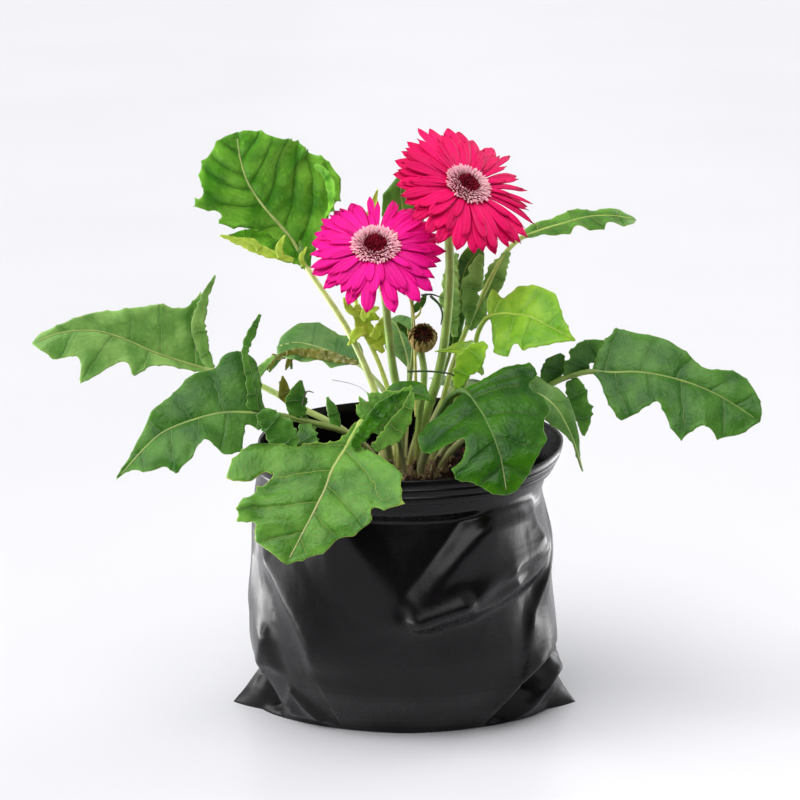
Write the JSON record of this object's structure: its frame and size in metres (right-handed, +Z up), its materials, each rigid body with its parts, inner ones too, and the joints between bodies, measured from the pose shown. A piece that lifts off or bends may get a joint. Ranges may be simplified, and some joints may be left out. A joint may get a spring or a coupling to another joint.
{
  "type": "potted gerbera",
  "caption": "Flowering gerbera with daisy-like heads on leafless scapes above lobed leaves, standing in a soft black film grow bag filled with potting mix.",
  "frame": {"origin": "middle of the bag's flat base, on the surface it stands on", "axes": "+Z up; the flower heads look towards -Y; +X to the right as seen from there, along the spread of the leaves"},
  "size_m": [0.4802, 0.283, 0.3956],
  "materials": {
    "leaf": "satin",
    "young_leaf": "satin",
    "scape": "matte",
    "bract": "matte",
    "ray_low": "matte",
    "ray_high": "matte",
    "ring": "matte",
    "eye": "matte",
    "crown": "matte",
    "mix": "matte",
    "film": "satin"
  },
  "bodies": {
    "root": {"leaf_upright_left": "leaf", "leaf_far_left": "leaf", "leaf_low_left": "leaf", "leaf_front_left": "leaf", "leaf_front_right": "leaf", "leaf_far_right": "leaf", "leaf_back_left": "leaf", "leaf_pale_right": "leaf", "leaf_slender_middle": "leaf", "leaf_winged_right": "leaf", "leaf_behind": "leaf", "leaf_low_back": "leaf", "leaf_folded_front": "leaf", "leaf_bright_right": "young_leaf", "leaf_upper_right": "young_leaf", "leaf_young_centre": "young_leaf", "leaf_yellow_middle": "young_leaf", "scape_low": "scape", "bracts_low": "bract", "rays_low": "ray_low", "ring_low": "ring", "eye_low": "eye", "scape_high": "scape", "bracts_high": "bract", "rays_high": "ray_high", "ring_high": "ring", "eye_high": "eye", "scape_bud": "scape", "bracts_bud": "bract", "florets_bud": "eye", "crown": "crown", "potting_mix": "mix", "grow_bag": "film"}
  },
  "joints": []
}
